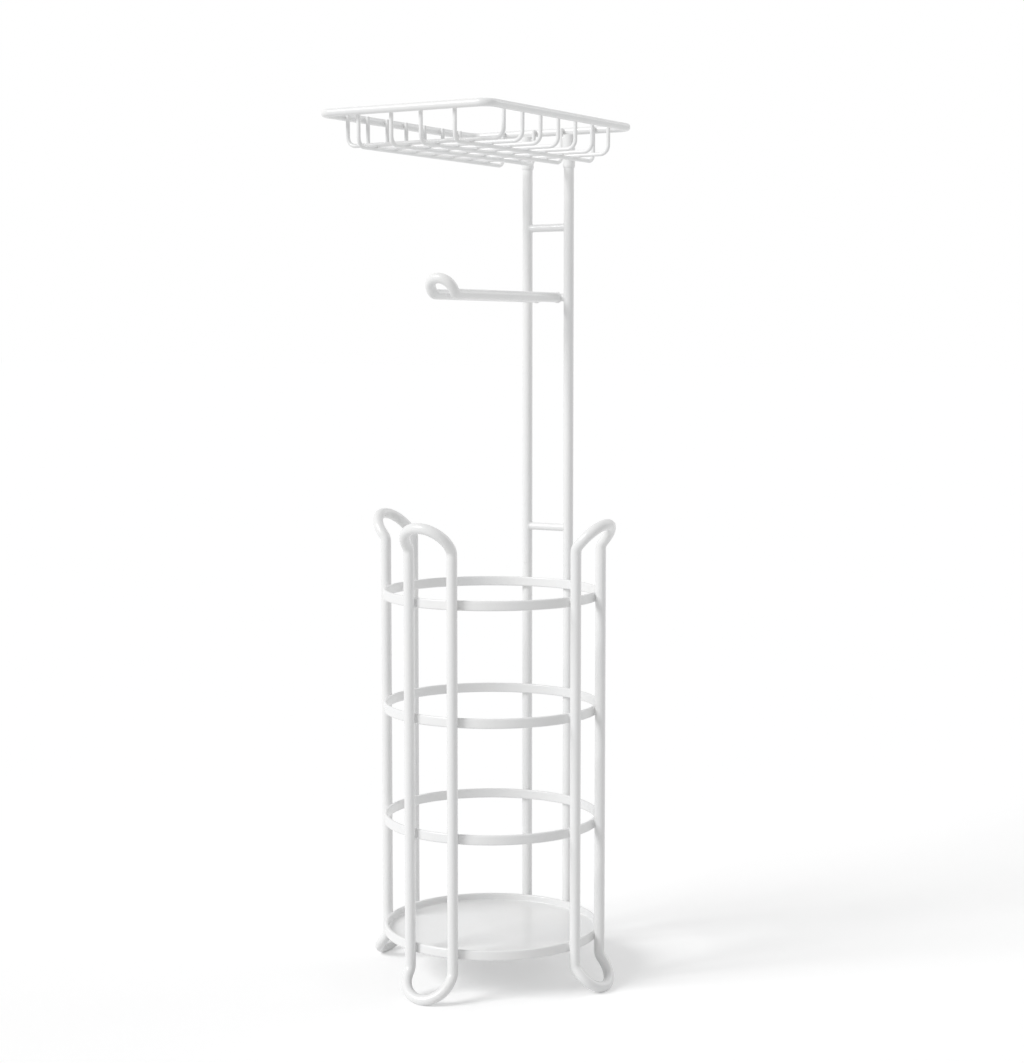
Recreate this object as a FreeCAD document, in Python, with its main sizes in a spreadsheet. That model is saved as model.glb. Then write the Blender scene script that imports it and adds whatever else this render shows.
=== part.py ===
import FreeCAD, Part
import math
import os
import Sketcher
from FreeCAD import Placement, Rotation, Vector

# Free-standing toilet roll storage holder in white coated steel.
# A cage of four hairpin legs and four flat hoops carries a rear mast with a roll arm and a wire basket.
# Frame: +Z up, floor at Z = 0, origin under the middle of the whole holder, front towards -Y, mast on +Y.
# Sizes are in millimetres. The legs are drawn with the cage axis on Z and then moved back to it.

doc = FreeCAD.newDocument("roll_holder")

HOOPS = ("base_hoop", "lower_hoop", "upper_hoop", "top_hoop")
CROSS_WIRES = 7

SIZES = {
    # Round stock of the legs and the mast; the arch starts this far above the top hoop
    "rod_dia": 8.5,
    "leg_spacing": 40,
    "arch_start": 34.8,
    "flare_angle": 41,
    "flare_bend": 9,
    "flare_straight": 1,
    "foot_flat": 0.3,
    # Flat-bar hoops and the tray in the lowest one
    "hoop_radius": 88,
    "hoop_thick": 3,
    "hoop_height": 8,
    "hoop_edge": 1.2,
    "base_hoop_top": 42,
    "hoop_pitch": 92,
    "plate_thick": 1.2,
    "plate_lift": 1.2,
    # Mast: its joint and lower rung are measured up from the top hoop, its upper rung down from the rim's top
    "mast_joint": 12,
    "mast_wall": 1.2,
    "spigot_length": 40,
    "spigot_clear": 0.05,
    "rung_dia": 6.4,
    "lower_rung": 43.2,
    "upper_rung": 82.2,
    # Roll arm; its height is the room from it up to the upper rung
    "arm_dia": 8.2,
    "arm_spacing": 20.3,
    "arm_height": 58,
    "arm_reach": 155.4,
    "arm_bend": 7.4,
    "arm_angle": 54,
    "arm_straight": 1,
    "arm_set_in": 1.2,
    # Basket rim; its overhang is what stands out behind the mast's axis
    "rim_width": 157.4,
    "rim_depth": 225.4,
    "rim_top": 694.3,
    "rim_dia": 6.2,
    "rim_corner": 12,
    "rim_overhang": 6.8,
    # Basket wires
    "wire_dia": 3.2,
    "wire_bend": 7,
    "wire_end": 1.2,
    "basket_drop": 26.1,
    "cross_inset": 32.2,
    "outer_wire": 43.5,
    # Sockets that drop over the mast tubes; their diameter is what they add to the tube's
    "socket_dia": 1.7,
    "socket_clear": 0.1,
    "socket_length": 27.1,
    "socket_cap": 1.5,
    "socket_lip": 0.5,
    # Fit between pieces that are welded together
    "weld_gap": 0.05,
}

sheet = doc.addObject("Spreadsheet::Sheet", "sizes")
for row, (alias, value) in enumerate(SIZES.items(), start=1):
    sheet.set("A%d" % row, str(value))
    sheet.setAlias("A%d" % row, alias)
doc.recompute()

# Positions that follow from the sizes, each named once
FITS = {
    "rod_radius": "sizes.rod_dia / 2",
    "half_spacing": "sizes.leg_spacing / 2",
    "leg_distance": "sqrt((sizes.hoop_radius + fits.rod_radius + sizes.weld_gap)^2 - fits.half_spacing^2)",
    "flare_rise": "sizes.flare_bend * sin(sizes.flare_angle)"
                  " + (sizes.flare_straight + sizes.leg_spacing / 2) * cos(sizes.flare_angle)",
    "flare_reach": "sizes.flare_bend * (1 - cos(sizes.flare_angle))"
                   " + (sizes.flare_straight + sizes.leg_spacing / 2) * sin(sizes.flare_angle)",
    "foot_start": "sizes.rod_dia / 2 - sizes.foot_flat + fits.flare_rise",
    "hoop_round": "min(sizes.hoop_edge; 0.45 * sizes.hoop_thick)",
    "top_hoop_level": "sizes.base_hoop_top + %d * sizes.hoop_pitch" % (len(HOOPS) - 1),
    "arch_level": "fits.top_hoop_level + sizes.arch_start",
    "joint_level": "fits.top_hoop_level + sizes.mast_joint",
    "lower_rung_level": "fits.top_hoop_level + sizes.lower_rung",
    "upper_rung_level": "sizes.rim_top - sizes.upper_rung",
    "arm_level": "fits.upper_rung_level - sizes.arm_height",
    "front_reach": "sizes.rim_depth - sizes.rim_overhang - fits.leg_distance",
    "rear_reach": "fits.leg_distance + fits.flare_reach + sizes.rod_dia / 2",
    "axis_y": "(fits.front_reach - fits.rear_reach) / 2",
    "mast_y": "fits.axis_y + fits.leg_distance",
    "spigot_bore": "sizes.rod_dia / 2 - sizes.mast_wall",
    "rim_low": "sizes.rim_top - sizes.rim_dia",
    "rim_back": "fits.mast_y + sizes.rim_overhang",
    "rim_centre": "fits.rim_back - sizes.rim_depth / 2",
    "rim_front_run": "(sizes.rim_dia - sizes.rim_depth) / 2",
    "wire_inset": "sizes.rim_dia + sizes.weld_gap + sizes.wire_dia / 2",
    "cross_level": "sizes.rim_top - sizes.basket_drop",
    "long_level": "fits.cross_level - sizes.wire_dia - sizes.weld_gap",
    "wire_top": "sizes.rim_top - sizes.wire_end",
    "cross_half": "sizes.rim_width / 2 - fits.wire_inset",
    "long_half": "sizes.rim_depth / 2 - fits.wire_inset",
    "cross_pitch": "(sizes.rim_depth - 2 * sizes.cross_inset) / %d" % (CROSS_WIRES - 1),
    "socket_bore": "sizes.rod_dia / 2 + sizes.socket_clear",
    "socket_radius": "(sizes.rod_dia + sizes.socket_dia) / 2",
    "socket_taper": "min(sizes.socket_lip; 0.7 * (fits.socket_radius - fits.socket_bore))",
    "socket_low": "fits.rim_low - sizes.weld_gap - sizes.socket_length",
    "inner_wire": "fits.half_spacing - sqrt((fits.socket_radius + sizes.wire_dia / 2 + sizes.weld_gap)^2"
                  " - (sizes.rim_overhang - fits.wire_inset)^2)",
    "mast_length": "fits.rim_low - sizes.socket_cap - fits.joint_level - 3 * sizes.weld_gap",
}

fits = doc.addObject("App::VarSet", "fits")
for name in FITS:
    fits.addProperty("App::PropertyFloat", name, "Fits")
for name, formula in FITS.items():
    fits.setExpression(name, formula)
doc.recompute()


def size(alias):
    return float(sheet.get(alias))


def fit(name):
    return float(getattr(fits, name))


def bind(item, links):
    for path, formula in links.items():
        item.setExpression(path, formula)
    return item


def at(x="0", y="0", z="0"):
    steps = {"Placement.Base.x": x, "Placement.Base.y": y, "Placement.Base.z": z}
    return {path: formula for path, formula in steps.items() if formula != "0"}


def cylinder(name, radius, height, place, turn=Rotation()):
    rod = doc.addObject("Part::Cylinder", name)
    rod.Placement = Placement(Vector(), turn)
    return bind(rod, {"Radius": radius, "Height": height, **place})


def fuse(name, shapes):
    joined = doc.addObject("Part::MultiFuse", name)
    joined.Shapes = shapes
    return joined


def cut(name, base, tool):
    rest = doc.addObject("Part::Cut", name)
    rest.Base = base
    rest.Tool = tool
    return rest


# Which way the local axes of a bend's ring point, for rods that run up and rods that run down
BEND_UP = Rotation(Vector(-1, 0, 0), Vector(0, 0, 1), Vector(0, 1, 0), "XYZ")
BEND_DOWN = Rotation(Vector(-1, 0, 0), Vector(0, 0, -1), Vector(0, -1, 0), "XYZ")
U_TURN = Rotation(Vector(0, 1, 0), Vector(0, 0, 1), Vector(1, 0, 0), "XYZ")
ALONG_X = Rotation(Vector(0, 1, 0), 90)


def hairpin_end(name, stock, x, z, up):
    """Two bends towards +X and a half-ring that joins a pair of upright rods at height z."""
    radius, half = stock["radius"], stock["half"]
    bend, angle, straight = stock["bend"], stock["angle"], stock["straight"]
    pieces = []
    for side, sign in (("a", "-"), ("b", "")):
        elbow = doc.addObject("Part::Torus", name + "_elbow_" + side)
        elbow.Placement = Placement(Vector(), BEND_UP if up else BEND_DOWN)
        bind(elbow, {"Radius1": bend, "Radius2": radius, "Angle3": angle})
        bind(elbow, at("%s + %s" % (x, bend), "%s%s" % (sign, half), z))
        pieces.append(elbow)
    tips = [
        cylinder(name + "_tip_" + side, radius, straight, at(y="%s%s" % (sign, half)))
        for side, sign in (("a", "-"), ("b", ""))
    ]
    ring = doc.addObject("Part::Torus", name + "_ring")
    ring.Placement = Placement(Vector(), U_TURN)
    ring.Angle3 = 180
    bind(ring, {"Radius1": half, "Radius2": radius, **at(z=straight)})
    loop = fuse(name + "_loop", tips + [ring])
    loop.Placement = Placement(Vector(), Rotation(Vector(0, 1, 0), 45))
    bind(loop, {"Placement.Rotation.Angle": angle if up else "180 - %s" % angle})
    bind(loop, at(
        "%s + %s * (1 - cos(%s))" % (x, bend, angle),
        z="%s %s %s * sin(%s)" % (z, "+" if up else "-", bend, angle),
    ))
    return pieces + [loop]


def rod_pair(name, stock, x, low, high):
    return [
        cylinder(name + "_rod_" + side, stock["radius"], "%s - %s" % (high, low),
                 at(x, "%s%s" % (sign, stock["half"]), low))
        for side, sign in (("a", "-"), ("b", ""))
    ]


parts = []


def keep(item, label):
    item.Label = label
    parts.append(item)
    return item


# Legs: closed hairpins of round rod, flared outwards at the arch and at the foot, each foot bedded flat

LEG = {
    "radius": "fits.rod_radius",
    "half": "fits.half_spacing",
    "bend": "sizes.flare_bend",
    "angle": "sizes.flare_angle",
    "straight": "sizes.flare_straight",
}

floor_block = doc.addObject("Part::Box", "floor_block")
bind(floor_block, {
    "Length": "4 * sizes.hoop_radius",
    "Width": "4 * sizes.hoop_radius",
    "Height": "sizes.rod_dia",
    **at("-2 * sizes.hoop_radius", "-2 * sizes.hoop_radius", "-sizes.rod_dia"),
})

leg_blank = fuse(
    "leg_blank",
    rod_pair("leg", LEG, "fits.leg_distance", "fits.foot_start", "fits.arch_level")
    + hairpin_end("leg_arch", LEG, "fits.leg_distance", "fits.arch_level", up=True)
    + hairpin_end("leg_foot", LEG, "fits.leg_distance", "fits.foot_start", up=False),
)

for label, heading in (("front_leg", -90), ("left_leg", 180), ("right_leg", 0)):
    leg = keep(cut(label, leg_blank, floor_block), label)
    leg.Placement = Placement(Vector(), Rotation(Vector(0, 0, 1), heading))
    bind(leg, at(y="fits.axis_y"))

# Rear leg: the same foot, with open ends bored for the spigots that carry the mast

rear_blank = fuse(
    "rear_blank",
    rod_pair("rear", LEG, "fits.leg_distance", "fits.foot_start", "fits.joint_level")
    + hairpin_end("rear_foot", LEG, "fits.leg_distance", "fits.foot_start", up=False),
)
bores = [
    cylinder("rear_bore_" + side, "fits.spigot_bore", "sizes.spigot_length / 2 + 1",
             at("fits.leg_distance", sign + "fits.half_spacing",
                "fits.joint_level - sizes.spigot_length / 2 - sizes.weld_gap"))
    for side, sign in (("a", "-"), ("b", ""))
]
rear_leg = keep(cut("rear_leg", rear_blank, fuse("rear_tools", bores + [floor_block])), "rear_leg")
rear_leg.Placement = Placement(Vector(), Rotation(Vector(0, 0, 1), 90))
bind(rear_leg, at(y="fits.axis_y"))


def sketch(body, name, role, height=None):
    plane = next(feature for feature in body.Origin.OriginFeatures if feature.Role == role)
    drawing = body.newObject("Sketcher::SketchObject", name)
    drawing.AttachmentSupport = [(plane, "")]
    drawing.MapMode = "FlatFace"
    if height is not None:
        drawing.setExpression("AttachmentOffset.Base.z", height)
    return drawing


def dimension(drawing, name, formula, *constraint):
    index = drawing.addConstraint(Sketcher.Constraint(*constraint))
    drawing.renameConstraint(index, name)
    drawing.setExpression("Constraints." + name, formula)


def circle(drawing, name, radius, radius_formula, x=0.0, x_formula=None):
    ring = drawing.addGeometry(Part.Circle(Vector(x, 0, 0), Vector(0, 0, 1), radius))
    dimension(drawing, name + "_radius", radius_formula, "Radius", ring, radius)
    if x_formula is None:
        drawing.addConstraint(Sketcher.Constraint("Coincident", ring, 3, -1, 1))
        return
    drawing.addConstraint(Sketcher.Constraint("PointOnObject", ring, 3, -1))
    dimension(drawing, name + "_x", x_formula, "DistanceX", -1, 1, ring, 3, x)


def pad(body, drawing, name, formula):
    plate = body.newObject("PartDesign::Pad", name)
    plate.Profile = drawing
    bind(plate, {"Length": formula})
    return plate


def revolve(body, drawing, name):
    turned = body.newObject("PartDesign::Revolution", name)
    turned.Profile = drawing
    turned.ReferenceAxis = (drawing, ["V_Axis"])
    turned.Angle = 360
    return turned


def rounded_rectangle(drawing, name, centre, extent, radius, formulas):
    """Rectangle with four tangent corner arcs; formulas give its left, bottom, width, height and radius."""
    (cx, cy), (wide, tall) = centre, extent
    x0, x1, y0, y1 = cx - wide / 2, cx + wide / 2, cy - tall / 2, cy + tall / 2
    normal = Vector(0, 0, 1)
    runs = [
        ((x0 + radius, y0), (x1 - radius, y0)),
        ((x1, y0 + radius), (x1, y1 - radius)),
        ((x1 - radius, y1), (x0 + radius, y1)),
        ((x0, y1 - radius), (x0, y0 + radius)),
    ]
    corners = [
        ((x1 - radius, y0 + radius), -90),
        ((x1 - radius, y1 - radius), 0),
        ((x0 + radius, y1 - radius), 90),
        ((x0 + radius, y0 + radius), 180),
    ]
    lines = [drawing.addGeometry(Part.LineSegment(Vector(*a, 0), Vector(*b, 0))) for a, b in runs]
    arcs = [
        drawing.addGeometry(Part.ArcOfCircle(
            Part.Circle(Vector(*middle, 0), normal, radius), math.radians(start), math.radians(start + 90)))
        for middle, start in corners
    ]
    for step in range(4):
        drawing.addConstraint(Sketcher.Constraint("Tangent", lines[step], 2, arcs[step], 1))
        drawing.addConstraint(Sketcher.Constraint("Tangent", arcs[step], 2, lines[(step + 1) % 4], 1))
        if step:
            drawing.addConstraint(Sketcher.Constraint("Equal", arcs[0], arcs[step]))
    drawing.addConstraint(Sketcher.Constraint("Horizontal", lines[0]))
    drawing.addConstraint(Sketcher.Constraint("Vertical", lines[1]))
    x_low, y_low, width, height, corner = formulas
    dimension(drawing, name + "_radius", corner, "Radius", arcs[0], radius)
    dimension(drawing, name + "_left", x_low, "DistanceX", -1, 1, lines[3], 1, x0)
    dimension(drawing, name + "_width", width, "DistanceX", lines[3], 1, lines[1], 1, wide)
    dimension(drawing, name + "_low", y_low, "DistanceY", -1, 1, lines[0], 1, y0)
    dimension(drawing, name + "_tall", height, "DistanceY", lines[0], 1, lines[2], 1, tall)


# Hoops: flat bar on edge with rolled edges, bent into a ring that the legs are welded around

for level, label in enumerate(HOOPS):
    hoop = keep(doc.addObject("PartDesign::Body", label), label)
    section = sketch(hoop, label + "_section", "XZ_Plane")
    rounded_rectangle(
        section, "bar",
        (size("hoop_radius") - size("hoop_thick") / 2, -size("hoop_height") / 2),
        (size("hoop_thick"), size("hoop_height")),
        fit("hoop_round"),
        ("sizes.hoop_radius - sizes.hoop_thick", "-sizes.hoop_height", "sizes.hoop_thick",
         "sizes.hoop_height", "fits.hoop_round"),
    )
    revolve(hoop, section, label + "_ring")
    bind(hoop, at(y="fits.axis_y", z="sizes.base_hoop_top + %d * sizes.hoop_pitch" % level))

# Tray: a sheet disc let into the lower edge of the lowest hoop

plate = keep(doc.addObject("PartDesign::Body", "base_plate"), "base_plate")
disc = sketch(plate, "base_plate_disc", "XY_Plane")
circle(disc, "disc", size("hoop_radius") - size("hoop_thick") - size("weld_gap"),
       "sizes.hoop_radius - sizes.hoop_thick - sizes.weld_gap")
pad(plate, disc, "base_plate_sheet", "sizes.plate_thick")
bind(plate, at(y="fits.axis_y", z="sizes.base_hoop_top - sizes.hoop_height + sizes.plate_lift"))

# Mast: two tubes that stand on the rear leg, each located by a spigot, and tied by coped rungs

for side, sign in (("left", "-"), ("right", "")):
    x_place = sign + "fits.half_spacing"
    label = "mast_tube_" + side
    tube = keep(doc.addObject("PartDesign::Body", label), label)
    section = sketch(tube, label + "_section", "XY_Plane")
    circle(section, "outer", fit("rod_radius"), "fits.rod_radius")
    circle(section, "inner", fit("spigot_bore"), "fits.spigot_bore")
    pad(tube, section, label + "_run", "fits.mast_length")
    bind(tube, at(x_place, "fits.mast_y", "fits.joint_level + sizes.weld_gap"))

    label = "mast_spigot_" + side
    keep(cylinder(label, "fits.spigot_bore - sizes.spigot_clear", "sizes.spigot_length",
                  at(x_place, "fits.mast_y", "fits.joint_level - sizes.spigot_length / 2")), label)

mast_clear = fuse("mast_clear", [
    cylinder("mast_clear_" + side, "fits.rod_radius + sizes.weld_gap", "sizes.rim_top",
             at(sign + "fits.half_spacing", "fits.mast_y"))
    for side, sign in (("a", "-"), ("b", ""))
])
for label, height in (
    ("lower_rung", "fits.lower_rung_level"),
    ("arm_rung", "fits.arm_level"),
    ("upper_rung", "fits.upper_rung_level"),
):
    bar = cylinder(label + "_bar", "sizes.rung_dia / 2", "sizes.leg_spacing",
                   at("-fits.half_spacing", "fits.mast_y", height), ALONG_X)
    keep(cut(label, bar, mast_clear), label)

# Roll arm: one rod doubled into a hairpin, its tip cranked up to hold the roll, its ends coped to the mast

ARM = {
    "radius": "sizes.arm_dia / 2",
    "half": "sizes.arm_spacing / 2",
    "bend": "sizes.arm_bend",
    "angle": "sizes.arm_angle",
    "straight": "sizes.arm_straight",
}
arm_blank = fuse(
    "arm_blank",
    rod_pair("arm", ARM, "0", "(sizes.rung_dia / 2 - sizes.arm_set_in)", "sizes.arm_reach")
    + hairpin_end("arm_tip", ARM, "0", "sizes.arm_reach", up=True),
)
forwards = Rotation(Vector(0, 0, 1), Vector(-1, 0, 0), Vector(0, -1, 0), "XYZ")
arm_blank.Placement = Placement(Vector(), forwards)
bind(arm_blank, at(y="fits.mast_y", z="fits.arm_level"))
arm_clear = cylinder("arm_clear", "sizes.rung_dia / 2 + sizes.weld_gap", "sizes.leg_spacing",
                     at("-fits.half_spacing", "fits.mast_y", "fits.arm_level"), ALONG_X)
keep(cut("roll_arm", arm_blank, fuse("arm_tools", [arm_clear, mast_clear])), "roll_arm")

# Basket rim: round rod bent to a rectangle with round corners, swept from one end of its front run

rim = keep(doc.addObject("PartDesign::Body", "basket_rim"), "basket_rim")
path = sketch(rim, "basket_rim_path", "XY_Plane")
rounded_rectangle(
    path, "middle", (0.0, 0.0),
    (size("rim_width") - size("rim_dia"), size("rim_depth") - size("rim_dia")),
    size("rim_corner") - size("rim_dia") / 2,
    ("(sizes.rim_dia - sizes.rim_width) / 2", "fits.rim_front_run",
     "sizes.rim_width - sizes.rim_dia", "sizes.rim_depth - sizes.rim_dia",
     "sizes.rim_corner - sizes.rim_dia / 2"),
)
section = sketch(rim, "basket_rim_section", "YZ_Plane", "sizes.rim_corner - sizes.rim_width / 2")
circle(section, "rod", size("rim_dia") / 2, "sizes.rim_dia / 2", fit("rim_front_run"), "fits.rim_front_run")
bent = rim.newObject("PartDesign::AdditivePipe", "basket_rim_bent")
bent.Profile = section
bent.Spine = path
bind(rim, at(y="fits.rim_centre", z="sizes.rim_top - sizes.rim_dia / 2"))


def u_wire(label, half, half_formula, low, low_formula):
    """Basket wire bent to a U in its own XZ plane, its two ends standing up inside the rim."""
    wire = keep(doc.addObject("PartDesign::Body", label), label)
    radius, top = size("wire_bend"), fit("wire_top")
    path = sketch(wire, label + "_path", "XZ_Plane")
    runs = [
        ((-half, top), (-half, low + radius)),
        ((-half + radius, low), (half - radius, low)),
        ((half, low + radius), (half, top)),
    ]
    left, floor, right = [
        path.addGeometry(Part.LineSegment(Vector(*a, 0), Vector(*b, 0))) for a, b in runs
    ]
    bends = [
        path.addGeometry(Part.ArcOfCircle(
            Part.Circle(Vector(middle, low + radius, 0), Vector(0, 0, 1), radius),
            math.radians(start), math.radians(start + 90)))
        for middle, start in ((-half + radius, 180), (half - radius, -90))
    ]
    for first, first_end, second, second_end in (
        (left, 2, bends[0], 1), (bends[0], 2, floor, 1), (floor, 2, bends[1], 1), (bends[1], 2, right, 1),
    ):
        path.addConstraint(Sketcher.Constraint("Tangent", first, first_end, second, second_end))
    path.addConstraint(Sketcher.Constraint("Vertical", left))
    path.addConstraint(Sketcher.Constraint("Equal", bends[0], bends[1]))
    path.addConstraint(Sketcher.Constraint("Horizontal", left, 1, right, 2))
    dimension(path, "bend", "sizes.wire_bend", "Radius", bends[0], radius)
    dimension(path, "left_x", "-" + half_formula, "DistanceX", -1, 1, left, 1, -half)
    dimension(path, "right_x", half_formula, "DistanceX", -1, 1, right, 2, half)
    dimension(path, "top_z", "fits.wire_top", "DistanceY", -1, 1, left, 1, top)
    dimension(path, "low_z", low_formula, "DistanceY", -1, 1, floor, 1, low)
    section = sketch(wire, label + "_section", "XY_Plane", "fits.wire_top")
    circle(section, "wire", size("wire_dia") / 2, "sizes.wire_dia / 2", -half, "-" + half_formula)
    bent = wire.newObject("PartDesign::AdditivePipe", label + "_bent")
    bent.Profile = section
    bent.Spine = path
    return wire


# Basket wires: seven run across and lie inside four that run front to back, all welded inside the rim

for count in range(CROSS_WIRES):
    wire = u_wire("cross_wire_%d" % (count + 1), fit("cross_half"), "fits.cross_half",
                  fit("cross_level"), "fits.cross_level")
    bind(wire, at(y="fits.rim_back - sizes.rim_depth + sizes.cross_inset + %d * fits.cross_pitch" % count))

LONG_WIRES = ("-sizes.outer_wire", "-fits.inner_wire", "fits.inner_wire", "sizes.outer_wire")
for count, x_place in enumerate(LONG_WIRES):
    wire = u_wire("long_wire_%d" % (count + 1), fit("long_half"), "fits.long_half",
                  fit("long_level"), "fits.long_level")
    wire.Placement = Placement(Vector(), Rotation(Vector(0, 0, 1), 90))
    bind(wire, at(x_place, "fits.rim_centre"))

# Sockets: capped sleeves under the rear of the rim that drop over the mast tubes, with a tapered mouth

for side, sign in (("left", "-"), ("right", "")):
    label = "basket_socket_" + side
    socket = keep(doc.addObject("PartDesign::Body", label), label)
    profile = sketch(socket, label + "_profile", "XZ_Plane")
    bore, outer, length = fit("socket_bore"), fit("socket_radius"), size("socket_length")
    taper = fit("socket_taper")
    ceiling = length - size("socket_cap")
    corners = [
        (bore, 0, "fits.socket_bore", None),
        (outer - taper, 0, "fits.socket_radius - fits.socket_taper", None),
        (outer, 3 * taper, "fits.socket_radius", "3 * fits.socket_taper"),
        (outer, length, "fits.socket_radius", "sizes.socket_length"),
        (0, length, None, "sizes.socket_length"),
        (0, ceiling, None, "sizes.socket_length - sizes.socket_cap"),
        (bore, ceiling, "fits.socket_bore", "sizes.socket_length - sizes.socket_cap"),
    ]
    edges = []
    for here, there in zip(corners, corners[1:] + corners[:1]):
        edges.append(profile.addGeometry(Part.LineSegment(Vector(*here[:2], 0), Vector(*there[:2], 0))))
    for index, (x, z, x_formula, z_formula) in enumerate(corners):
        edge = edges[index]
        profile.addConstraint(Sketcher.Constraint("Coincident", edges[index - 1], 2, edge, 1))
        if x_formula is None:
            profile.addConstraint(Sketcher.Constraint("PointOnObject", edge, 1, -2))
        else:
            dimension(profile, "x%d" % index, x_formula, "DistanceX", -1, 1, edge, 1, x)
        if z_formula is None:
            profile.addConstraint(Sketcher.Constraint("PointOnObject", edge, 1, -1))
        else:
            dimension(profile, "z%d" % index, z_formula, "DistanceY", -1, 1, edge, 1, z)
    revolve(socket, profile, label + "_sleeve")
    bind(socket, at(sign + "fits.half_spacing", "fits.mast_y", "fits.socket_low"))

doc.recompute()

faults = [item.Name for item in doc.Objects if {"Invalid", "Error"} & set(item.State)]
for item in parts:
    shape = item.Shape
    if shape.isNull() or not shape.isValid() or len(shape.Solids) != 1:
        faults.append(item.Label)
if faults:
    raise RuntimeError("not built: " + ", ".join(faults))

os.makedirs("parts", exist_ok=True)
for item in parts:
    item.Shape.exportStep("parts/%s.step" % item.Label)
    print("%-22s %10.1f mm3" % (item.Label, item.Shape.Volume))
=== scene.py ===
import math

import bmesh
import bpy
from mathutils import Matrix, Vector


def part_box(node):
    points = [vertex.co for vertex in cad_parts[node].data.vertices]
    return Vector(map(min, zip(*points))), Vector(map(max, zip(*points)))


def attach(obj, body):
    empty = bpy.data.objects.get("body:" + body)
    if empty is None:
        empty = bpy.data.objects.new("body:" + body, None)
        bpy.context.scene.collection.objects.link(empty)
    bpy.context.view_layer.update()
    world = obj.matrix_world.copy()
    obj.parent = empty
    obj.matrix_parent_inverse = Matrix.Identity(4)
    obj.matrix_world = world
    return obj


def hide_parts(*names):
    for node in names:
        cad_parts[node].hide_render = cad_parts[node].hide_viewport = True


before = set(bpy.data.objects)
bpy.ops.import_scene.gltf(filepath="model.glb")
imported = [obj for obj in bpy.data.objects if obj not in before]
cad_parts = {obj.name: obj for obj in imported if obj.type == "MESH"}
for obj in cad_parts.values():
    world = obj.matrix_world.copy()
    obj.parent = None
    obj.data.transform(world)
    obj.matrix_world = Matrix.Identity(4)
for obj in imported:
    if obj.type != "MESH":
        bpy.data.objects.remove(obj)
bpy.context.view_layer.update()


# Legs: four hairpins of drawn steel rod, cranked outwards at the foot and, on three of them, at the arch.
# They are bent cold, welded to the hoops and powder-coated white with the whole cage.
# The coat is a satin polyester film that flows out with a faint orange peel.

class Level:
    """A value that changes over a piece: arithmetic on it adds Math nodes to its tree."""

    def __init__(self, tree, socket):
        self.tree = tree
        self.socket = socket

    def math(self, operation, other=0.0):
        return self.tree.math(operation, self, other)

    def __add__(self, other):
        return self.math("ADD", other)

    def __sub__(self, other):
        return self.math("SUBTRACT", other)

    def __rsub__(self, other):
        return self.tree.math("SUBTRACT", other, self)

    def __mul__(self, other):
        return self.math("MULTIPLY", other)

    def __truediv__(self, other):
        return self.math("DIVIDE", other)

    def __rtruediv__(self, other):
        return self.tree.math("DIVIDE", other, self)

    __radd__ = __add__
    __rmul__ = __mul__


class Tree:
    """A node tree in the making: a node is given by its type, its settings and what feeds its sockets."""

    def __init__(self, tree):
        self.tree = tree

    def node(self, kind, settings=None, inputs=None, output=0):
        made = self.tree.nodes.new(kind)
        for name, value in (settings or {}).items():
            setattr(made, name, value)
        for name, value in (inputs or {}).items():
            if isinstance(value, Level):
                self.tree.links.new(value.socket, made.inputs[name])
            else:
                made.inputs[name].default_value = value
        return Level(self, made.outputs[output]) if made.outputs else None

    def math(self, operation, first, second):
        return self.node("ShaderNodeMath", {"operation": operation}, {0: first, 1: second})


class Finish(Tree):
    """A surface finish: a material that reads the piece's own coordinates."""

    def __init__(self, name):
        self.material = bpy.data.materials.new(name)
        self.material.use_nodes = True
        super().__init__(self.material.node_tree)
        self.tree.nodes.clear()
        self.place = self.node("ShaderNodeTexCoord", output="Object")

    def noise(self, width, detail):
        spread = {"Vector": self.place, "Scale": 1.0 / width, "Detail": detail}
        return self.node("ShaderNodeTexNoise", {}, spread)

    def blend(self, share, first, second):
        return self.node("ShaderNodeMix", {"data_type": "RGBA"}, {0: share, 6: first, 7: second}, 2)

    def relief(self, height, depth):
        return self.node("ShaderNodeBump", {}, {"Strength": 1.0, "Distance": depth, "Height": height})

    def show(self, shader):
        self.node("ShaderNodeOutputMaterial", {}, {"Surface": shader})
        return self.material


def white_coat(name, peel_width, peel_depth, satin):
    """Powder coat: the film's build drifts over some centimetres, and a fine grain lies on the peel."""
    cool_white = (0.868, 0.876, 0.884, 1.0)
    warm_white = (0.896, 0.892, 0.882, 1.0)
    build_width = 0.045
    grain_width = peel_width / 7
    grain_share = 0.12
    build_dulls = 0.10
    grain_dulls = 0.05
    thin_gloss = 0.10
    build_gloss = 0.30
    finish = Finish(name)
    build = finish.noise(build_width, detail=3.0)
    peel = finish.noise(peel_width, detail=1.5)
    grain = finish.noise(grain_width, detail=2.0)
    return finish.show(finish.node("ShaderNodeBsdfPrincipled", {}, {
        "Base Color": finish.blend(build, cool_white, warm_white),
        "Roughness": satin + build_dulls * build + grain_dulls * grain,
        "Coat Weight": thin_gloss + build_gloss * build,
        "Coat Roughness": 0.08,
        "Normal": finish.relief(peel + grain_share * grain, peel_depth),
    }))


def dress(finish, *names):
    for name in names:
        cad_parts[name].material_slots[0].material = finish


rod_coat = white_coat("white_coat_rod", peel_width=0.0024, peel_depth=0.00010, satin=0.20)
dress(rod_coat, "front_leg", "left_leg", "right_leg", "rear_leg")


# Hoops: four rings rolled on edge from mild-steel flat bar with the mill's rounded edges.
# Every leg rod is welded to the outside of all four, and the coat runs each weld out to a smooth hollow.

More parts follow.
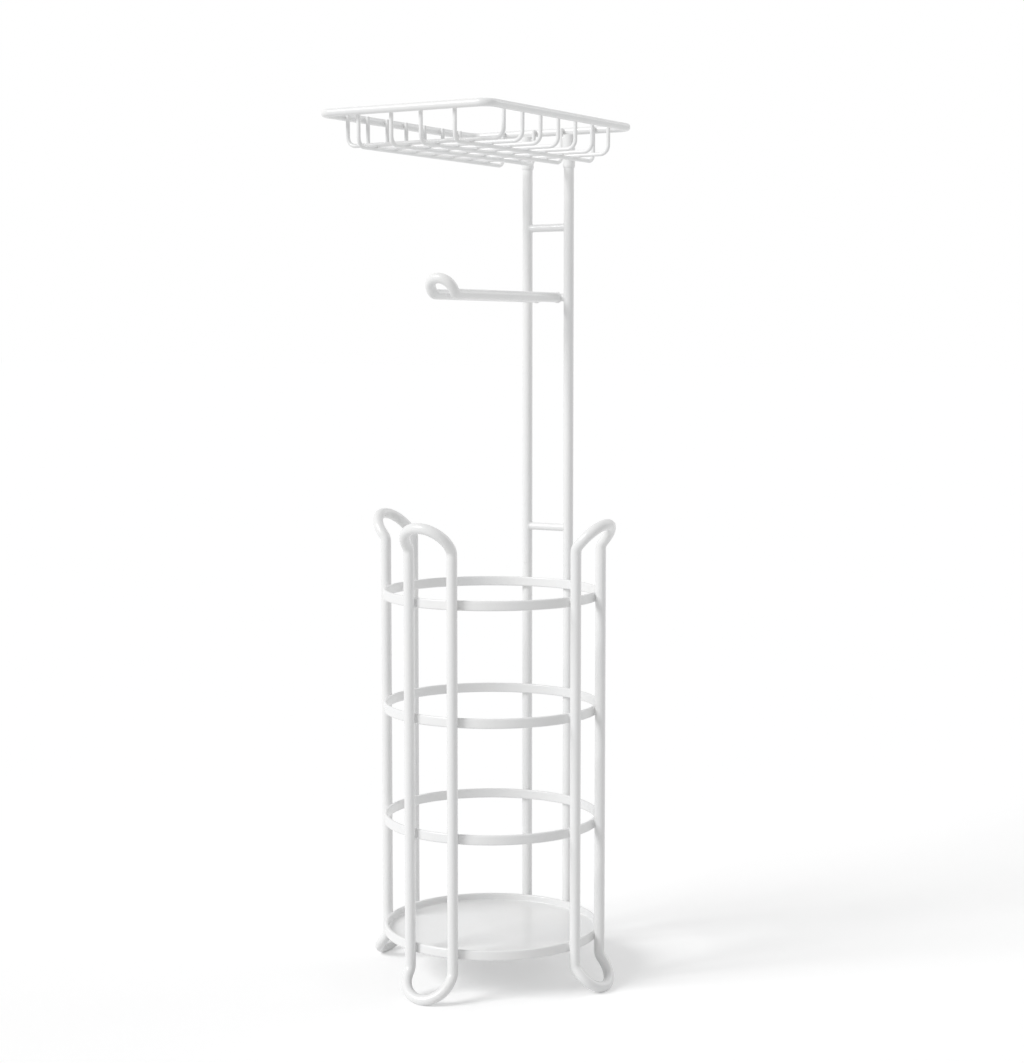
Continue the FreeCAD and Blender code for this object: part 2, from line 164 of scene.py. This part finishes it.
class Pattern(Tree):
    """A geometry tree with named sizes: each time it is worked on a start mesh, it leaves a plain piece."""

    def __init__(self, name, *sizes):
        super().__init__(bpy.data.node_groups.new(name, "GeometryNodeTree"))
        face = self.tree.interface
        face.new_socket("Start", in_out="INPUT", socket_type="NodeSocketGeometry")
        coat = face.new_socket("Coat", in_out="INPUT", socket_type="NodeSocketMaterial")
        self.keys = {"Coat": coat.identifier}
        for size in sizes:
            socket = face.new_socket(size, in_out="INPUT", socket_type="NodeSocketFloat")
            self.keys[size] = socket.identifier
        face.new_socket("Piece", in_out="OUTPUT", socket_type="NodeSocketGeometry")
        self.entry = self.tree.nodes.new("NodeGroupInput")
        self.index = self.node("GeometryNodeInputIndex")

    def __getitem__(self, name):
        return Level(self, self.entry.outputs[name])

    def at(self, x, y, z):
        return self.node("ShaderNodeCombineXYZ", {}, {"X": x, "Y": y, "Z": z})

    def sweep(self, path):
        """Draw the start mesh's outline along a level path: its x points outwards and its y downwards."""
        upright = self.node("GeometryNodeSetCurveNormal", {"mode": "Z_UP"}, {"Curve": path})
        profile = self.node("GeometryNodeMeshToCurve", {}, {"Mesh": self["Start"]})
        return self.node("GeometryNodeCurveToMesh", {}, {"Curve": upright, "Profile Curve": profile})

    def move(self, shape, place):
        return self.node("GeometryNodeTransform", {}, {"Geometry": shape, "Translation": place})

    def repeat(self, shape, count, place, turn, least=1.0, most=1.0):
        """Set one shape at every place, turned about the upright and varied a little in size by chance."""
        fixed_seed = 7
        spots = self.node("GeometryNodePoints", {}, {"Count": count, "Position": place})
        spread = {2: least, 3: most, "Seed": fixed_seed}
        chance = self.node("FunctionNodeRandomValue", {"data_type": "FLOAT"}, spread, 1)
        return self.node("GeometryNodeInstanceOnPoints", {}, {
            "Points": spots,
            "Instance": shape,
            "Rotation": self.at(0.0, 0.0, turn),
            "Scale": self.at(chance, chance, chance),
        })

    def together(self, *shapes):
        joined = self.tree.nodes.new("GeometryNodeJoinGeometry")
        for shape in shapes:
            self.tree.links.new(shape.socket, joined.inputs[0])
        return Level(self, joined.outputs[0])

    def close(self, shape):
        """End the tree with real geometry, smooth and coated."""
        real = self.node("GeometryNodeRealizeInstances", {}, {"Geometry": shape})
        smooth = self.node("GeometryNodeSetShadeSmooth", {}, {"Geometry": real})
        coated = self.node("GeometryNodeSetMaterial", {}, {"Geometry": smooth, "Material": self["Coat"]})
        self.node("NodeGroupOutput", {}, {"Piece": coated})

    def work(self, name, start, finish, sizes):
        """Make a piece at these sizes, with its faces turned outwards, and let it ride on the body."""
        piece = bpy.data.objects.new(name, start)
        bpy.context.scene.collection.objects.link(piece)
        modifier = piece.modifiers.new(name, "NODES")
        modifier.node_group = self.tree
        for size, value in {**sizes, "Coat": finish}.items():
            modifier[self.keys[size]] = value
        graph = bpy.context.evaluated_depsgraph_get()
        plain = bpy.data.meshes.new_from_object(piece.evaluated_get(graph))
        piece.modifiers.clear()
        skin = bmesh.new()
        skin.from_mesh(plain)
        bmesh.ops.recalc_face_normals(skin, faces=skin.faces)
        for face in skin.faces:
            face.material_index = 0
        skin.to_mesh(plain)
        skin.free()
        plain.materials.clear()
        plain.materials.append(finish)
        piece.data = plain
        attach(piece, "root")
        return piece


def outline_mesh(name, outline):
    flat = bpy.data.meshes.new(name)
    flat.from_pydata([(x, y, 0.0) for x, y in outline], [], [tuple(range(len(outline)))])
    return flat


def bar_outline(name, thick, high, edge):
    """Flat bar on edge with rolled edges: a point close beside each bend keeps the faces flat."""
    beside = 0.0002
    bend_steps = 6
    outline = []
    for corner, (x_side, y_side) in enumerate(((1, 1), (-1, 1), (-1, -1), (1, -1))):
        x = x_side * (thick / 2 - edge)
        y = y_side * (high / 2 - edge)
        bends = [math.radians(90 * corner + 90 * step / bend_steps) for step in range(bend_steps + 1)]
        arc = [(x + edge * math.cos(bend), y + edge * math.sin(bend)) for bend in bends]
        before = (arc[0][0] + beside * math.sin(bends[0]), arc[0][1] - beside * math.cos(bends[0]))
        after = (arc[-1][0] - beside * math.sin(bends[-1]), arc[-1][1] + beside * math.cos(bends[-1]))
        outline += [before] + arc + [after]
    return outline_mesh(name, outline)


def middle(name):
    low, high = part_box(name)
    return (low + high) / 2


def extent(name):
    low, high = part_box(name)
    return high - low


ring_steps = 192
ring_rolling = Pattern("ring_rolling", "Radius", "Axis Y", "Level")
ring_path = ring_rolling.node("GeometryNodeCurvePrimitiveCircle", {}, {
    "Resolution": ring_steps,
    "Radius": ring_rolling["Radius"],
})
ring_rolling.close(ring_rolling.move(
    ring_rolling.sweep(ring_path),
    ring_rolling.at(0.0, ring_rolling["Axis Y"], ring_rolling["Level"]),
))

bar_coat = white_coat("white_coat_bar", peel_width=0.0028, peel_depth=0.00011, satin=0.21)
bar_thick = 0.003
bar_edge = 0.0012
hoop_radius = extent("base_hoop").x / 2
hoop_height = extent("base_hoop").z
cage_axis = middle("base_hoop")
hoops = ("base_hoop", "lower_hoop", "upper_hoop", "top_hoop")
for hoop in hoops:
    hoop_outline = bar_outline(hoop + "_outline", bar_thick, hoop_height, bar_edge)
    rolled_bar = ring_rolling.work(hoop + "_bar", hoop_outline, bar_coat, {
        "Radius": hoop_radius - bar_thick / 2,
        "Axis Y": cage_axis.y,
        "Level": middle(hoop).z,
    })
    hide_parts(hoop)


def closed_skin(name, rings):
    """A closed skin over rings of points that follow one another."""
    around = len(rings[0])
    points = [point for ring in rings for point in ring]
    faces = [tuple(reversed(range(around))), tuple(range(len(points) - around, len(points)))]
    for low in range(0, len(points) - around, around):
        for step in range(around):
            after = (step + 1) % around
            faces.append((low + step, low + after, low + around + after, low + around + step))
    skin = bpy.data.meshes.new(name)
    skin.from_pydata(points, [], faces)
    return skin


def groove_weld(name, rod, face, hollow, length):
    """A weld in both grooves beside the line where a rod touches a face, hollow and run out at its ends."""
    sunk = 0.00012
    hollow_steps = 3
    apart = rod + face
    along = (apart ** 2 + (face + hollow) ** 2 - (rod + hollow) ** 2) / (2 * apart)
    aside = math.sqrt((face + hollow) ** 2 - along ** 2)
    out = along - face
    from_face = math.atan2(-along, -aside)
    to_rod = math.atan2(rod - out, -aside) - 2 * math.pi
    bend_step = (to_rod - from_face) / hollow_steps
    bends = [from_face + bend_step * step for step in range(hollow_steps + 1)]
    right = [(aside + hollow * math.cos(bend), out + hollow * math.sin(bend)) for bend in bends]
    left = [(-x, y) for x, y in reversed(right)]
    toe = (right[0][0] + sunk, right[0][1] - sunk)
    outline = [(-toe[0], toe[1]), toe] + right + [(0.0, 3 * sunk)] + left
    ends = ((-0.5, 0.45), (-0.36, 1.0), (0.36, 1.0), (0.5, 0.45))
    return closed_skin(name, [[(x * size, y * size, z * length) for x, y in outline] for z, size in ends])


quarter = math.pi / 2
leg_welding = Pattern(
    "leg_welding", "Radius", "Axis Y", "Half Angle", "Rods", "First Level", "Level Pitch", "Levels")
hoop_number = (leg_welding.index / leg_welding["Rods"]).math("FLOOR")
rod_number = leg_welding.index - hoop_number * leg_welding["Rods"]
leg_number = (rod_number / 2.0).math("FLOOR")
side = (rod_number - leg_number * 2.0) * 2.0 - 1.0
heading = leg_number * quarter + side * leg_welding["Half Angle"]
leg_welding.close(leg_welding.repeat(
    leg_welding["Start"],
    leg_welding["Rods"] * leg_welding["Levels"],
    leg_welding.at(
        heading.math("COSINE") * leg_welding["Radius"],
        heading.math("SINE") * leg_welding["Radius"] + leg_welding["Axis Y"],
        hoop_number * leg_welding["Level Pitch"] + leg_welding["First Level"],
    ),
    heading - quarter,
    least=0.94,
    most=1.04,
))

legs = 4
rod_radius = 0.00425
weld_hollow = 0.0006
weld_shorter = 0.0008
half_spacing = middle("mast_tube_right").x
leg_weld = groove_weld("leg_weld", rod_radius, hoop_radius, weld_hollow, hoop_height - weld_shorter)
leg_welding.work("leg_welds", leg_weld, bar_coat, {
    "Radius": hoop_radius,
    "Axis Y": cage_axis.y,
    "Half Angle": math.asin(half_spacing / (hoop_radius + rod_radius)),
    "Rods": 2.0 * legs,
    "First Level": cage_axis.z,
    "Level Pitch": (middle("top_hoop").z - cage_axis.z) / (len(hoops) - 1),
    "Levels": float(len(hoops)),
})


# Tray: a disc blanked from steel sheet and let into the lowest hoop.
# The coat bridges the seam between the two with a small hollow all the way round.

sheet_coat = white_coat("white_coat_sheet", peel_width=0.0036, peel_depth=0.00014, satin=0.24)
dress(sheet_coat, "base_plate")

seam = 0.0008
seam_sunk = 0.0001
seam_steps = 4
seam_bends = [-quarter * step / seam_steps for step in range(seam_steps + 1)]
seam_hollow = [(seam * (math.cos(bend) - 1), -seam * (1 + math.sin(bend))) for bend in seam_bends]
seam_outline = [(seam_sunk, seam_sunk), (seam_sunk, -seam)] + seam_hollow + [(-seam, seam_sunk)]
ring_rolling.work("tray_seam", outline_mesh("tray_seam_outline", seam_outline), sheet_coat, {
    "Radius": extent("base_plate").x / 2,
    "Axis Y": cage_axis.y,
    "Level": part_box("base_plate")[1].z,
})


# Mast: two straight steel tubes that plug over turned pins in the rear leg, tied by round steel rungs.
# The rung ends are coped to the tubes and welded all round, and the pins are left bare.

dark_steel = (0.52, 0.53, 0.54, 1.0)
pale_steel = (0.60, 0.60, 0.59, 1.0)
ridge_pitch = 0.00025
ridge_depth = 0.000012
cloud_width = 0.006
turned_satin = 0.26
ridge_dulls = 0.12
cloud_dulls = 0.08
bare = Finish("plain_steel_turned")
height = bare.node("ShaderNodeSeparateXYZ", {}, {"Vector": bare.place}, "Z")
ridges = (height * (2 * math.pi / ridge_pitch)).math("SINE") * 0.5 + 0.5
cloud = bare.noise(cloud_width, detail=2.0)
bare_steel = bare.show(bare.node("ShaderNodeBsdfPrincipled", {}, {
    "Base Color": bare.blend(cloud, dark_steel, pale_steel),
    "Metallic": 1.0,
    "Roughness": turned_satin + ridge_dulls * ridges + cloud_dulls * cloud,
    "Normal": bare.relief(ridges, ridge_depth),
}))
dress(bare_steel, "mast_spigot_left", "mast_spigot_right")
rungs = ("lower_rung", "arm_rung", "upper_rung")
dress(rod_coat, "mast_tube_left", "mast_tube_right", *rungs)


def bead_along(pattern, path, bead):
    """Lay a round bead of weld along a path."""
    sides = 6
    profile = pattern.node("GeometryNodeCurvePrimitiveCircle", {}, {"Resolution": sides, "Radius": bead})
    return pattern.node("GeometryNodeCurveToMesh", {}, {"Curve": path, "Profile Curve": profile})


def ring_about(pattern, radius):
    """A ring to be bent to a saddle, with the two coordinates of its points."""
    steps = 20
    ring = pattern.node("GeometryNodeCurvePrimitiveCircle", {}, {"Resolution": steps, "Radius": radius})
    place = pattern.node("GeometryNodeInputPosition")
    first = pattern.node("ShaderNodeSeparateXYZ", {}, {"Vector": place}, "X")
    second = pattern.node("ShaderNodeSeparateXYZ", {}, {"Vector": place}, "Y")
    return ring, first, second


def stand_out(radius, offset):
    """How far a round bar's side stands out at an offset from its middle."""
    return (radius * radius - offset * offset).math("MAXIMUM", 0.0).math("SQRT")


rung_welding = Pattern(
    "rung_welding", "Rung Radius", "Tube Radius", "Half Spacing", "Bead", "Depth", "Low", "Mid", "High")
ring, across, up = ring_about(rung_welding, rung_welding["Rung Radius"])
to_tube = rung_welding["Half Spacing"] - stand_out(rung_welding["Tube Radius"], across)
saddle = rung_welding.node("GeometryNodeSetPosition", {}, {
    "Geometry": ring,
    "Position": rung_welding.at(to_tube, across, up),
})
rung_number = (rung_welding.index / 2.0).math("FLOOR")
rung_level = (
    rung_welding["Low"]
    + rung_number.math("GREATER_THAN", 0.5) * (rung_welding["Mid"] - rung_welding["Low"])
    + rung_number.math("GREATER_THAN", 1.5) * (rung_welding["High"] - rung_welding["Mid"])
)
rung_welding.close(rung_welding.repeat(
    bead_along(rung_welding, saddle, rung_welding["Bead"]),
    2 * len(rungs),
    rung_welding.at(0.0, rung_welding["Depth"], rung_level),
    (rung_welding.index - rung_number * 2.0) * math.pi,
))

weld_bead = 0.0006
rung_radius = extent("lower_rung").z / 2
mast_depth = middle("mast_tube_right").y
rung_welding.work("rung_welds", bpy.data.meshes.new("rung_weld"), rod_coat, {
    "Rung Radius": rung_radius,
    "Tube Radius": rod_radius,
    "Half Spacing": half_spacing,
    "Bead": weld_bead,
    "Depth": mast_depth,
    "Low": middle("lower_rung").z,
    "Mid": middle("arm_rung").z,
    "High": middle("upper_rung").z,
})


# Roll arm: one steel rod doubled into a hairpin, its tip cranked up as a stop.
# Both ends are coped to the middle rung and welded to it all round.

dress(rod_coat, "roll_arm")

arm_welding = Pattern(
    "arm_welding", "Arm Radius", "Rung Radius", "Half Gap", "Set In", "Bead", "Depth", "Level")
ring, across, up = ring_about(arm_welding, arm_welding["Arm Radius"])
rod_end = arm_welding["Rung Radius"] - arm_welding["Set In"]
forward = stand_out(arm_welding["Rung Radius"], up).math("MAXIMUM", rod_end)
saddle = arm_welding.node("GeometryNodeSetPosition", {}, {
    "Geometry": ring,
    "Position": arm_welding.at(across + arm_welding["Half Gap"], -1.0 * forward, up),
})
right_bead = bead_along(arm_welding, saddle, arm_welding["Bead"])
flip = {"Geometry": right_bead, "Scale": (-1.0, 1.0, 1.0)}
left_bead = arm_welding.node("GeometryNodeTransform", {}, flip)
arm_welding.close(arm_welding.move(
    arm_welding.together(right_bead, left_bead),
    arm_welding.at(0.0, arm_welding["Depth"], arm_welding["Level"]),
))

arm_radius = 0.0041
arm_set_in = 0.0012
arm_welding.work("arm_welds", bpy.data.meshes.new("arm_weld"), rod_coat, {
    "Arm Radius": arm_radius,
    "Rung Radius": rung_radius,
    "Half Gap": extent("roll_arm").x / 2 - arm_radius,
    "Set In": arm_set_in,
    "Bead": weld_bead,
    "Depth": mast_depth,
    "Level": middle("arm_rung").z,
})


# Basket rim: round steel rod, thinner than the legs', bent cold to a rectangle with round corners.
# Its ends are butt-welded at the back and ground flush, so that the coat hides the joint.

dress(rod_coat, "basket_rim")
rim_middle = middle("basket_rim")
rim_size = extent("basket_rim")
rim_rod = rim_size.z


# Basket wires: drawn steel wire bent to U shapes, seven across on top of four lengthways.
# They are spot-welded where they cross and inside the rim, and the coat rounds their cut ends.

cross_wires = 7
long_wires = 4
wire_coat = white_coat("white_coat_wire", peel_width=0.0016, peel_depth=0.00007, satin=0.20)
dress(wire_coat, *["cross_wire_%d" % count for count in range(1, cross_wires + 1)])
dress(wire_coat, *["long_wire_%d" % count for count in range(1, long_wires + 1)])


def paired_rows(pattern, count, pitch, half_gap, turn=0.0, side_turn=0.0, row_turn=0.0):
    """Set the start mesh in two rows from front to back, one on each side of the middle."""
    row_number = (pattern.index / 2.0).math("FLOOR")
    row_side = (pattern.index - row_number * 2.0) * 2.0 - 1.0
    step = row_number - (count - 1.0) / 2.0
    place = pattern.at(row_side * half_gap, step * pitch + pattern["Middle Y"], pattern["Level"])
    facing = row_side * side_turn + step * (2.0 * row_turn) + turn
    return pattern.repeat(pattern["Start"], count * 2.0, place, facing, least=0.95, most=1.03)


end_rows = Pattern(
    "wire_end_rows", "Cross Wires", "Cross Pitch", "Cross Half", "Long Half", "Outer Half", "Inner Half",
    "Long Ends", "Middle Y", "Level")
cross_count = end_rows["Cross Wires"]
end_count = end_rows["Long Ends"]
end_pitch = end_rows["Long Half"] * 2.0
end_rows.close(end_rows.together(
    paired_rows(end_rows, cross_count, end_rows["Cross Pitch"], end_rows["Cross Half"], side_turn=quarter),
    paired_rows(end_rows, end_count, end_pitch, end_rows["Outer Half"], turn=quarter, row_turn=quarter),
    paired_rows(end_rows, end_count, end_pitch, end_rows["Inner Half"], turn=quarter, row_turn=quarter),
))
crossing_rows = Pattern(
    "wire_crossing_rows", "Cross Wires", "Cross Pitch", "Outer Half", "Inner Half", "Middle Y", "Level")
cross_count = crossing_rows["Cross Wires"]
cross_pitch = crossing_rows["Cross Pitch"]
crossing_rows.close(crossing_rows.together(
    paired_rows(crossing_rows, cross_count, cross_pitch, crossing_rows["Outer Half"]),
    paired_rows(crossing_rows, cross_count, cross_pitch, crossing_rows["Inner Half"]),
))


def lump(name, wide, high):
    """A small rounded lump, such as a spot weld or the coat on a cut wire end."""
    around = 10
    turns = [2 * math.pi * step / around for step in range(around)]
    rings = []
    for polar in (160, 125, 90, 55, 20):
        reach = wide * math.sin(math.radians(polar))
        level = high * math.cos(math.radians(polar))
        rings.append([(reach * math.cos(turn), reach * math.sin(turn), level) for turn in turns])
    return closed_skin(name, rings)


weld_reach = 0.00155
rim_weld_height = 0.0012
low_height = 0.0006
wire_radius = extent("cross_wire_1").y / 2
wire_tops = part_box("cross_wire_1")[1].z
basket = {
    "Cross Wires": float(cross_wires),
    "Cross Pitch": middle("cross_wire_2").y - middle("cross_wire_1").y,
    "Outer Half": abs(middle("long_wire_1").x),
    "Inner Half": abs(middle("long_wire_2").x),
    "Middle Y": middle("cross_wire_4").y,
}
end_rows.work("wire_ends", lump("wire_end", wire_radius, low_height), wire_coat, {
    **basket,
    "Cross Half": extent("cross_wire_1").x / 2 - wire_radius,
    "Long Half": extent("long_wire_1").y / 2 - wire_radius,
    "Long Ends": 2.0,
    "Level": wire_tops,
})
end_rows.work("rim_welds", lump("rim_weld", weld_reach, rim_weld_height), wire_coat, {
    **basket,
    "Cross Half": rim_size.x / 2 - rim_rod,
    "Long Half": rim_size.y / 2 - rim_rod,
    "Long Ends": 2.0,
    "Level": rim_middle.z,
})
crossing_rows.work("crossing_welds", lump("crossing_weld", weld_reach, low_height), wire_coat, {
    **basket,
    "Level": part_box("cross_wire_1")[0].z,
})


# Basket sockets: two capped steel sleeves that drop over the mast tubes and carry the whole basket.
# Each is welded up to the rim's underside, before and behind the rod, and to the wire beside it.

dress(rod_coat, "basket_socket_left", "basket_socket_right")

socket_rows = Pattern("socket_rows", "Half Gap", "Side Turn", "Rows", "Middle Y", "Level")
socket_rows.close(paired_rows(
    socket_rows, socket_rows["Rows"], 0.0, socket_rows["Half Gap"], side_turn=socket_rows["Side Turn"]))


def weld_run(name, length, radius):
    """A straight run of weld from side to side, thinned out at both ends."""
    around = 8
    turns = [2 * math.pi * step / around for step in range(around)]
    rings = []
    for x, size in ((-1.0, 0.3), (-0.93, 0.75), (-0.8, 1.0), (0.8, 1.0), (0.93, 0.75), (1.0, 0.3)):
        reach = radius * size
        rings.append([(x * length / 2, reach * math.cos(turn), reach * math.sin(turn)) for turn in turns])
    return closed_skin(name, rings)


socket_radius = extent("basket_socket_right").x / 2
socket_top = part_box("basket_socket_right")[1].z
mast_place = Vector((half_spacing, mast_depth))
wire_place = Vector((basket["Inner Half"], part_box("long_wire_2")[1].y - wire_radius))
to_wire = (wire_place - mast_place).normalized()
touch = mast_place + to_wire * socket_radius
wire_weld_hollow = 0.0004
wire_weld_length = 0.0155
wire_weld_drop = 0.0082
wire_weld = groove_weld(
    "socket_wire_weld", wire_radius, socket_radius, wire_weld_hollow, wire_weld_length)
socket_rows.work("socket_wire_welds", wire_weld, wire_coat, {
    "Half Gap": touch.x,
    "Side Turn": math.atan2(to_wire.y, to_wire.x) % (2 * math.pi) - quarter,
    "Rows": 1.0,
    "Middle Y": touch.y,
    "Level": socket_top - wire_weld_drop,
})
rim_run = rim_middle.y + (rim_size.y - rim_rod) / 2
run_radius = 0.0007
run_lift = 0.0002
for name, length, before_rod in (
    ("socket_front_welds", 0.0090, 0.0018),
    ("socket_back_welds", 0.0046, -0.0011),
):
    socket_rows.work(name, weld_run(name, length, run_radius), rod_coat, {
        "Half Gap": half_spacing,
        "Side Turn": 0.0,
        "Rows": 1.0,
        "Middle Y": rim_run - before_rod,
        "Level": socket_top + run_lift,
    })


# Studio: a white paper floor, an even white surround, a broad window to the left of the camera and a low
# faint light from behind on the right. The floor keeps their soft shadows.

def white_rays(tree):
    kinds = ("Is Camera Ray", "Is Glossy Ray", "Is Transmission Ray")
    camera_ray, glossy_ray, through_ray = [tree.node("ShaderNodeLightPath", output=kind) for kind in kinds]
    return camera_ray + glossy_ray + through_ray


cool_paper = (0.855, 0.857, 0.860, 1.0)
warm_paper = (0.865, 0.865, 0.864, 1.0)
fibre_width = 0.4
paper_lift = 0.285
paper = Finish("studio_paper")
fibre = paper.noise(fibre_width, detail=3.0)
matte = paper.node("ShaderNodeBsdfDiffuse", {}, {"Color": paper.blend(fibre, cool_paper, warm_paper)})
lift = paper.node("ShaderNodeEmission", {}, {"Strength": paper_lift})
lifted = paper.node("ShaderNodeAddShader", {}, {0: matte, 1: lift})
white_paper = paper.show(paper.node("ShaderNodeMixShader", {}, {0: white_rays(paper), 1: matte, 2: lifted}))

far = 40.0
sheet = bpy.data.meshes.new("floor")
sheet.from_pydata([(-far, -far, 0), (far, -far, 0), (far, far, 0), (-far, far, 0)], [], [(0, 1, 2, 3)])
sheet.materials.append(white_paper)
floor = bpy.data.objects.new("floor", sheet)
bpy.context.scene.collection.objects.link(floor)

white = (1.0, 1.0, 1.0, 1.0)
room_light = 0.42
plain_white = 1.0
room = bpy.data.worlds.new("studio")
room.use_nodes = True
bpy.context.scene.world = room
surround = Tree(room.node_tree)
surround.tree.nodes.clear()
ambient = surround.node("ShaderNodeBackground", {}, {"Color": white, "Strength": room_light})
backdrop = surround.node("ShaderNodeBackground", {}, {"Color": white, "Strength": plain_white})
both = surround.node("ShaderNodeMixShader", {}, {0: white_rays(surround), 1: ambient, 2: backdrop})
surround.node("ShaderNodeOutputWorld", {}, {"Surface": both})


def lamp(name, strength, spread, towards):
    light = bpy.data.lights.new(name, "SUN")
    light.energy = strength
    light.angle = math.radians(spread)
    stand = bpy.data.objects.new(name, light)
    stand.rotation_euler = Vector(towards).to_track_quat("-Z", "Y").to_euler()
    bpy.context.scene.collection.objects.link(stand)


lamp("window", strength=1.85, spread=26, towards=(0.50, 0.86, -0.70))
lamp("back_light", strength=0.45, spread=40, towards=(-0.60, -0.80, -0.60))
bpy.context.scene.view_settings.view_transform = "Standard"


# Camera: a long lens right of the front, at the height of the mast.
# It looks a little down, and shows the tray from above and the basket from below.

lens = bpy.data.cameras.new("photo_view")
lens.sensor_width = 36.0
lens.lens = 70.85
camera = bpy.data.objects.new("photo_view", lens)
camera.location = (0.89252, -1.42559, 0.51664)
camera.rotation_euler = (math.radians(84.838), 0.0, math.radians(31.322))
bpy.context.scene.collection.objects.link(camera)
bpy.context.scene.camera = camera
